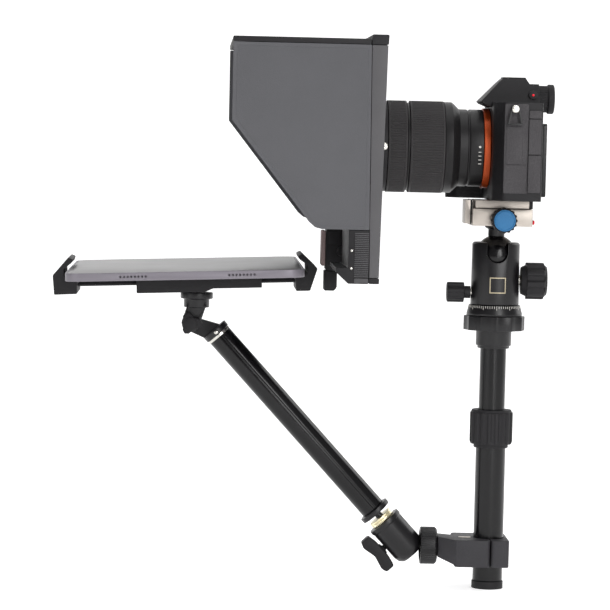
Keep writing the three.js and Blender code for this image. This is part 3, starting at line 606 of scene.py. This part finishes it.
def make_camera():
    refined("camera_body", 0.9, "camera")
    eyecup = [(0, 28.95), (10.4, 28.95, 0), (10.4, 30.2, 0.35), (10.4, 35.6, 0.35), (10.4, 36.6, 0),
              (11.5, 37.4),
              (11.5, 41.2), (10.6, 42), (8.4, 42), (8, 41.4), (8, 34), (0, 34)]
    turned("viewfinder_eyecup_fine", eyecup, along_x(LENS, 0, EYEPIECE_Z), "camera", "grip",
           ["viewfinder_eyecup"],
           slot_of("viewfinder_eyecup"), segments=192, ribs=32)
    for node in ("port_door_upper", "port_door_lower"):
        refined(node, 0.35, "leather")
    refined("lcd_screen", 0.6, "lcd")
    refined("strap_ring", 0.45, "metal")
    lug = [(0, -62.8), (2.8, -62.8), (2.8, -61.6), (0, -61.6)]
    turned("strap_lug", lug, along_y(LENS, *STRAP_LUG), "camera", "steel", segments=48, ease=0.2)
    button = [(0, 25.5), (4.5, 25.5), (4.5, 28.2), (3.8, 28.8), (1.5, 28.6), (0, 28.6)]
    turned("shutter_button_fine", button, LENS @ Matrix.Translation((-26, 54, 0)), "shutter", "steel",
           ["shutter_button"], "bright_steel", segments=64)
    panels = (("back", rect(-1.0, 17.2, -33.8, 34.6), -56.4, -55.8),
              ("inset", rect(0.4, 13, -11.4, 17.4), -56.9, -56.2),
              ("low", rect(-1.0, 16.3, -33.4, -12), -56.9, -56.2),
              ("door_cap", rect(17.6, 27.2, 23.7, 29.6), -57.6, -55.8))
    for name, shape, low, high in panels:
        slab(f"camera_panel_{name}", rounded(shape, 1.4), low, high, LENS @ SIDE, "camera",
             ["leather", "camera_edge"])
    dial("mode_dial", 8.2, 35.5, 41.5, 6, 33)
    dial("exposure_dial", 7, 27, 30.6, 20, 58, 28)
    cover = rounded(rect(0.9, 19.1, -9.4, 9.4), 1)
    slab("shoe_cover", cover, 54.0, 55.6, LENS, "camera", ["camera", "camera_edge"])
    dioptre = [(0, -23.2), (3.2, -23.2), (3.6, -22.6, 0.25), (3.6, -20, 0.25), (0, -20)]
    turned("dioptre_dial", dioptre, along_y(LENS, *DIOPTRE), "camera", "camera", segments=96, ribs=16)
    centre = [(0, -23.5), (1.0, -23.5), (1.0, -23), (0, -23)]
    turned("dioptre_centre", centre, along_y(LENS, *DIOPTRE), "camera", "red", segments=24, ease=0.1)
    screen = rounded(rect(-34, 36, -31.5, 16), 1)
    slab("screen_glass", screen, 33.5, 33.8, LENS @ FRONT, "lcd", ["lcd"])
    wheel = [(0, 28.4), (8.5, 28.4, 0.3), (8.5, 29.8, 0.3), (7.6, 30.4), (4.4, 29.8), (3.8, 30.2),
             (0, 30.2)]
    turned("control_wheel", wheel, along_x(LENS, 56, -8), "camera", "camera", segments=192, ribs=32)
    for i, (y, z) in enumerate(((50, 24), (60, 24), (48, 10), (64, 8), (50, -26), (62, -26))):
        knob = [(0, 28.4), (2.3, 28.4), (2.3, 29.5), (1.6, 29.8), (0, 29.8)]
        turned(f"rear_button_{i}", knob, along_x(LENS, y, z), "camera", "camera", segments=32)


# ---- Quick release and ball head ------------------------------------------------------------------
def make_quick_release():
    for node in ("qr_clamp_body", "qr_moving_jaw", "qr_plate"):
        refined(node, 0.35, "silver")
    strip = rect(-11.7, 15.3, -59.0, -40.0)
    slab("qr_plate_end", rect(-19.2, 19.2, -46.3, -40.0), 23.2, 26.1, LENS @ FRONT, "camera",
         ["moulding", "moulding_edge"])
    # A thin black plate, with the outline given above, over the moving jaw's end face: painted shade for
    # that face, which lies in shadow.
    slab("qr_jaw_end_painted_shade", strip, -21.8, -20.2, LENS @ FRONT, "qr_clamp", ["moulding", "moulding_edge"])
    screw = joint_point("qr_knob_turn")
    at = along_y(FOOT, screw.x, screw.z)
    rim = [(0, -23.5), (8, -23.5), (10.0, -23.9, 0.8), (10.0, -35.1, 0.8), (9.2, -35.5, 0.3), (8.6, -35.5),
           (0, -35.5)]
    grip = turned_mesh("qr_rim", rim, at, segments=192, ribs=16)
    turned("qr_screw", rod(2.4, -25, 5), at, "qr_screw", "steel", segments=48)
    finished("qr_knob_rim", grip, "qr_screw", ["grip"], ["qr_knob"])
    cap = [(0, -37.2), (7.0, -37.2), (7.3, -36.9), (7.5, -37.3), (8.2, -37.2), (8.4, -36.4), (8.4, -35.2),
           (0, -35.2)]
    turned("qr_knob_cap", cap, at, "qr_screw", "blue", segments=96, ease=0.12)
    pin = [(0, 20.6), (1.8, 20.6), (1.8, 27), (1.5, 27.3), (1.8, 27.6), (1.8, 28.6), (1.4, 29), (0, 29)]
    turned("safety_pin_fine", pin, along_x(LENS, *SAFETY_PIN), "pin", "red", ["safety_pin"], "red_anodised",
           segments=48, ease=0.1)


def bent(name, outline_width, outline_height, radius, z, thickness, body, key, offset=0.0):
    """A rectangular plate wrapped on the near side of an upright cylinder."""
    bm = bmesh.new()
    steps = 12
    grid = []
    for level in (z - outline_height / 2, z + outline_height / 2):
        for r in (radius, radius + thickness):
            row = []
            for i in range(steps + 1):
                across = offset + (i / steps - 0.5) * outline_width
                angle = -math.pi / 2 + across / radius
                row.append(bm.verts.new((r * math.cos(angle), r * math.sin(angle), level)))
            grid.append(row)
    low_in, low_out, high_in, high_out = grid
    for a, b in ((low_in, low_out), (low_out, high_out), (high_out, high_in), (high_in, low_in)):
        for i in range(steps):
            bm.faces.new((a[i], a[i + 1], b[i + 1], b[i]))
    for i in (0, steps):
        bm.faces.new((low_in[i], low_out[i], high_out[i], high_in[i]))
    return finished(name, mesh_of(bm, name), body, [key])


def make_housing():
    shell = [(0, 236.5), (8.35, 236.5), (8.35, 223.4), (18.9, 223.4), (18.6, 262), (18.6, 270.6),
             (17.4, 272), (0, 272)]
    mesh = turned_mesh("housing", shell, FOOT, segments=144)
    notch_z = 264.2
    cutters = [
        turned_mesh("cavity",
                    [(16.75 * math.sin(math.pi * i / 24), BALL_Z - 16.75 * math.cos(math.pi * i / 24))
                               for i in range(25)], FOOT, segments=96, ease=0),
        prism("notch", rect(-8.15, 8.15, notch_z, 273), -25, -5, SIDE),
        turned_mesh("notch_foot", rod(8.15, -25, -5), along_y(FOOT, 0, notch_z), segments=96, ease=0),
        turned_mesh("main_bore", rod(4.4, 9, 20), along_x(FOOT, 0, MAIN_LOCK_Z), segments=48, ease=0),
        turned_mesh("pan_bore", rod(3.4, -20, -7), along_x(FOOT, 0, PAN_LOCK_Z), segments=48, ease=0),
    ]
    mesh = bevelled(carved(mesh, cutters), 0.3, 2, 40, edge_slot=1)
    finished("ball_housing_fine", mesh, "head_housing", ["metal", "metal_edge"], ["ball_housing"])
    # A blank badge: a beige frame round a plain dark field.
    bent("badge_frame", 12.7, 12.3, 18.78, 238.8, 0.22, "head_housing", "beige", 0.5)
    bent("badge_field", 11.1, 10.7, 18.85, 238.8, 0.25, "head_housing", "metal", 0.5)


def make_ball_head():
    make_housing()
    sphere = [(16.4 * math.sin(math.pi * i / 48),
               BALL_Z - 16.4 * math.cos(math.pi * i / 48)) for i in range(49)]
    turned("ball_fine", sphere, FOOT, "ball_body", "gloss", ["ball"], "gloss_black_tube", segments=128,
           ease=0)
    refined("ball_neck", 0.3, "metal")
    refined("head_platform", 0.4, "metal")
    base = [(0, 221), (5.1, 221), (5.1, 214.7), (21.7, 214.7), (21.7, 216.3), (19.9, 223.05), (8, 223.05),
            (8, 236), (0, 236)]
    turned("pan_base_fine", base, FOOT, "upper_column", "metal", ["pan_base"], "satin_black_metal",
           segments=144)
    for i in range(72):
        tall = 3.0 if i % 6 == 0 else 1.8
        lean = Matrix.Rotation(math.radians(5 * i), 4, "Z") @ Matrix.Translation((20.05, 0, 222.5))
        tilt = Matrix.Rotation(math.radians(-15), 4, "Y")
        mark = prism("tick", rect(-tall, 0, -0.16, 0.16), -0.1, 0.12,
                     lean @ tilt @ Matrix.Rotation(math.pi / 2, 4, "Y").inverted())
        finished(f"degree_mark_{i}", mark, "upper_column", ["paint"])
    main = [(0, 20), (10.5, 20), (12.4, 24), (14.5, 24, 2.2), (14.5, 37.5, 2.2), (12.4, 38.4), (11, 40.1),
            (5, 40.1), (4.6, 39.7), (0, 39.7)]
    turned("main_lock_knob_fine", main, along_x(FOOT, 0, MAIN_LOCK_Z), "main_knob", "grip",
           ["main_lock_knob"],
           "knob_rubber", segments=216, ribs=9)
    turned("main_lock_spindle", rod(4, 9.8, 20.5), along_x(FOOT, 0, MAIN_LOCK_Z), "main_knob", "steel",
           segments=64)
    pan = [(0, -19.3), (4.8, -19.3), (4.8, -24), (8, -24.5, 1.1), (8, -37, 1.1), (7, -37.7), (0, -37.7)]
    turned("pan_lock_knob_fine", pan, along_x(FOOT, 0, PAN_LOCK_Z), "pan_knob", "grip", ["pan_lock_knob"],
           "knob_rubber", segments=168, ribs=7)
    turned("pan_lock_spindle", rod(3, -19.6, -8.7), along_x(FOOT, 0, PAN_LOCK_Z), "pan_knob", "steel",
           segments=48)


# ---- Column and clamp -----------------------------------------------------------------------------
def make_column():
    refined("column_end_cap", 0.4, "moulding")
    turned("column_lower_tube_fine", tube(10.6, 11.7, 6.35, 124), FOOT, "root", "gloss",
           ["column_lower_tube"],
           "gloss_black_tube", segments=128)
    turned("column_upper_tube_fine", tube(9, 10.2, 62, 201), FOOT, "upper_column", "gloss",
           ["column_upper_tube"],
           "gloss_black_tube", segments=128)
    collar = [(12.05, 111), (13.5, 111), (13.5, 113.8), (16, 113.8), (16.8, 116, 1.0), (16.8, 138.5, 1.0),
              (16, 139), (15.4, 140.7), (10.55, 140.7), (10.55, 124.6), (12.05, 124.6), (12.05, 111)]
    turned("twist_lock_collar_fine", collar, FOOT, "collar", "grip", ["twist_lock_collar"], "knob_rubber",
           segments=216, ribs=18)


def make_clamp():
    for node in ("clamp_fixed_jaw", "clamp_moving_jaw"):
        refined(node, 0.5, "clamp")
    refined("clamp_knob", 0.5, "grip")
    slot_plate = rounded(rect(-24, -14, -6.5, -2.5), 1.9)
    slab("clamp_slot_plate", slot_plate, 39.9, 40.5, FOOT, "root", ["silver", "silver_edge"])
    flange = [(0, -45.8), (11.4, -45.8), (12.4, -53.8), (14.2, -53.8), (14.6, -53, 0.35),
              (14.6, -42.4, 0.35),
              (13, -40.7), (0, -40.7)]
    turned("dish_flange_fine", flange, along_x(FOOT, 0, CLAMP_FLANGE_Z), "root", "metal", ["dish_flange"],
           "satin_black_metal", segments=300, ribs=50)
    stem = [(0, -74.3), (4, -73.4), (7.2, -70.8), (8.8, -67.4), (9, -65.3), (8.6, -62.6), (6.4, -59),
            (2.3, -56.6),
            (2.3, -48.6), (4.2, -48.2), (4.2, -46.2), (0, -46.2)]
    turned("mini_ball_fine", stem, along_x(FOOT, 0, CLAMP_FLANGE_Z), "root", "steel", ["mini_ball"],
           "bright_steel",
           ease=0.6)


# ---- Arm ------------------------------------------------------------------------------------------
def side_groove(angle):
    """A shallow lengthwise slot on the arm's near and far sides."""
    sides = (-math.pi / 2 + 0.15, math.pi / 2 - 0.15)
    near = min(abs((angle - side + math.pi) % (2 * math.pi) - math.pi) for side in sides)
    return 0.55 / (1 + math.exp((near - 0.10) * 120))


def make_arm():
    refined("mini_head_body", 0.5, "metal")
    refined("mini_wing_knob", 0.8, "moulding")
    refined("arm_lower_cap", 0.4, "metal")
    refined("arm_upper_cap", 0.5, "metal")
    mesh = turned_mesh("arm_tube", [(8.3, 38.3), (9.7, 38.3), (9.7, 221.8), (8.3, 221.8), (8.3, 38.3)], ARM,
                       segments=240, ease=0.2, groove=side_groove)
    finished("arm_tube_fine", mesh, "arm", ["gloss"], ["arm_tube"])
    turned("arm_silver_ring", tube(9.5, 10.05, 219.8, 221.8), ARM, "arm", "steel", ease=0.1)
    nut = [(3.3, 26), (9.4, 26), (10, 26.5, 0.6), (10, 28, 0.6), (9.3, 28.25, 0.2), (10, 28.5, 0.6),
           (10, 30, 0.6),
           (9.4, 30.5), (3.3, 30.5), (3.3, 26)]
    turned("arm_lock_nut_fine", nut, ARM, "arm_nut", "brass", ["arm_lock_nut"], "pale_brass", segments=240,
           ribs=40, ease=0.12)
    rivet = [(0, -12), (1.1, -11.8), (1.7, -11.2), (1.7, -10.2), (0, -10.2)]
    turned("arm_rivet", rivet, along_y(ARM, 0, 224.3), "arm", "steel", segments=48, ease=0.1)


# ---- Tablet ---------------------------------------------------------------------------------------
TABLET_X, TABLET_BOTTOM, TABLET_TOP = -10.9, 10.4, 16.5
TABLET_HALF = (89.25, 123.8)


def tablet_outline(inset, radius):
    x, y = TABLET_HALF[0] - inset, TABLET_HALF[1] - inset
    return rounded(rect(TABLET_X - x, TABLET_X + x, -y, y), radius, 12)


def make_tablet():
    body = prism("tablet", tablet_outline(0, 16), TABLET_BOTTOM, TABLET_TOP, HOLDER)
    well = prism("well", tablet_outline(1.6, 14.6), TABLET_TOP - 0.9, TABLET_TOP + 1, HOLDER)
    holes = []
    for start in (-47.8, 32.9):
        for i in range(8):
            x = TABLET_X + start + i * 2.68
            holes.append(turned_mesh("hole", rod(0.8, -125, -121.5), along_y(HOLDER, x, 13.45), segments=20,
                                     ease=0))
    mesh = bevelled(carved(body, [well, joined(holes)]), 0.35, 3, 40, edge_slot=1)
    finished("tablet_body_fine", mesh, "holder", ["tablet", "tablet_edge"], ["tablet_body"])
    slab("tablet_glass_fine", tablet_outline(1.9, 14.3), TABLET_TOP - 0.6, TABLET_TOP, HOLDER, "holder",
         ["screen"], 0.2, ["tablet_glass"], "tablet_screen")
    refined("tablet_mount", 0.5, "metal")
    refined("top_wing_knob", 0.8, "moulding")
    for node in ("holder_body", "left_jaw", "right_jaw"):
        refined(node, 0.6, "moulding")


# ---- Stage ----------------------------------------------------------------------------------------
def make_stage():
    """A white floor that curves up into a backdrop."""
    profile = [(-4.0, 0.0), (2.2, 0.0)]
    sweep_r, wall_y = 1.2, 2.2
    for i in range(1, 17):
        angle = math.pi / 2 * i / 16
        profile.append((wall_y + sweep_r * math.sin(angle), sweep_r * (1 - math.cos(angle))))
    profile.append((wall_y + sweep_r, 5.0))
    bm = bmesh.new()
    rows = [[bm.verts.new((x, y, z)) for x in (-6, 6)] for y, z in profile]
    for a, b in zip(rows, rows[1:]):
        bm.faces.new((a[0], a[1], b[1], b[0]))
    mesh = bpy.data.meshes.new("floor")
    bm.to_mesh(mesh)
    bm.free()
    mesh.shade_smooth()
    mesh.materials.append(look("floor", "f4f4f4", 0.9, grain=60, bump=0.0, mottle=0.01,
                               Emission_Color=(1, 1, 1, 1), Emission_Strength=0.55))
    floor = bpy.data.objects.new("floor", mesh)
    bpy.context.scene.collection.objects.link(floor)


def soft_light(name, place, target, size, power):
    light = bpy.data.lights.new(name, "AREA")
    light.shape = "RECTANGLE"
    light.size, light.size_y = size
    light.energy = power
    obj = bpy.data.objects.new(name, light)
    obj.location = place
    obj.rotation_euler = (Vector(target) - Vector(place)).to_track_quat("-Z", "Y").to_euler()
    bpy.context.scene.collection.objects.link(obj)


def make_lights():
    middle = (-0.1, 0, 0.25)
    soft_light("key", (0.7, -1.9, 1.0), middle, (0.5, 1.6), 20)
    soft_light("fill", (-1.8, -1.4, 0.9), middle, (1.2, 1.6), 12)
    soft_light("top", (-0.1, 0.1, 2.1), middle, (1.8, 1.8), 15)
    soft_light("rim", (1.6, 0.9, 1.1), middle, (0.8, 1.4), 9)
    soft_light("strip", (0.35, -2.3, 0.5), middle, (0.12, 1.8), 7)
    world = bpy.data.worlds.new("studio")
    world.use_nodes = True
    world.node_tree.nodes["Background"].inputs[0].default_value = (1, 1, 1, 1)
    world.node_tree.nodes["Background"].inputs[1].default_value = 0.32
    bpy.context.scene.world = world
    bpy.context.scene.view_settings.view_transform = "Standard"


def make_camera_view():
    lens = bpy.data.cameras.new("photo_camera")
    lens.sensor_width = 36
    lens.lens = 188
    lens.clip_end = 60
    camera = bpy.data.objects.new("photo_camera", lens)
    camera.location = (-0.2326, -2.484, 0.356)
    yaw, pitch, roll = math.radians(-1.943), math.radians(90 - 3.145), math.radians(1.35)
    turn = Matrix.Rotation(yaw, 4, "Z") @ Matrix.Rotation(pitch, 4, "X") @ Matrix.Rotation(roll, 4, "Z")
    camera.rotation_euler = turn.to_euler()
    bpy.context.scene.collection.objects.link(camera)
    bpy.context.scene.camera = camera


make_camera_view()
make_lights()
make_stage()
make_hood()
make_base_block()
make_phone_clamp()
make_lens()
make_camera()
make_quick_release()
make_ball_head()
make_column()
make_clamp()
make_arm()
make_tablet()
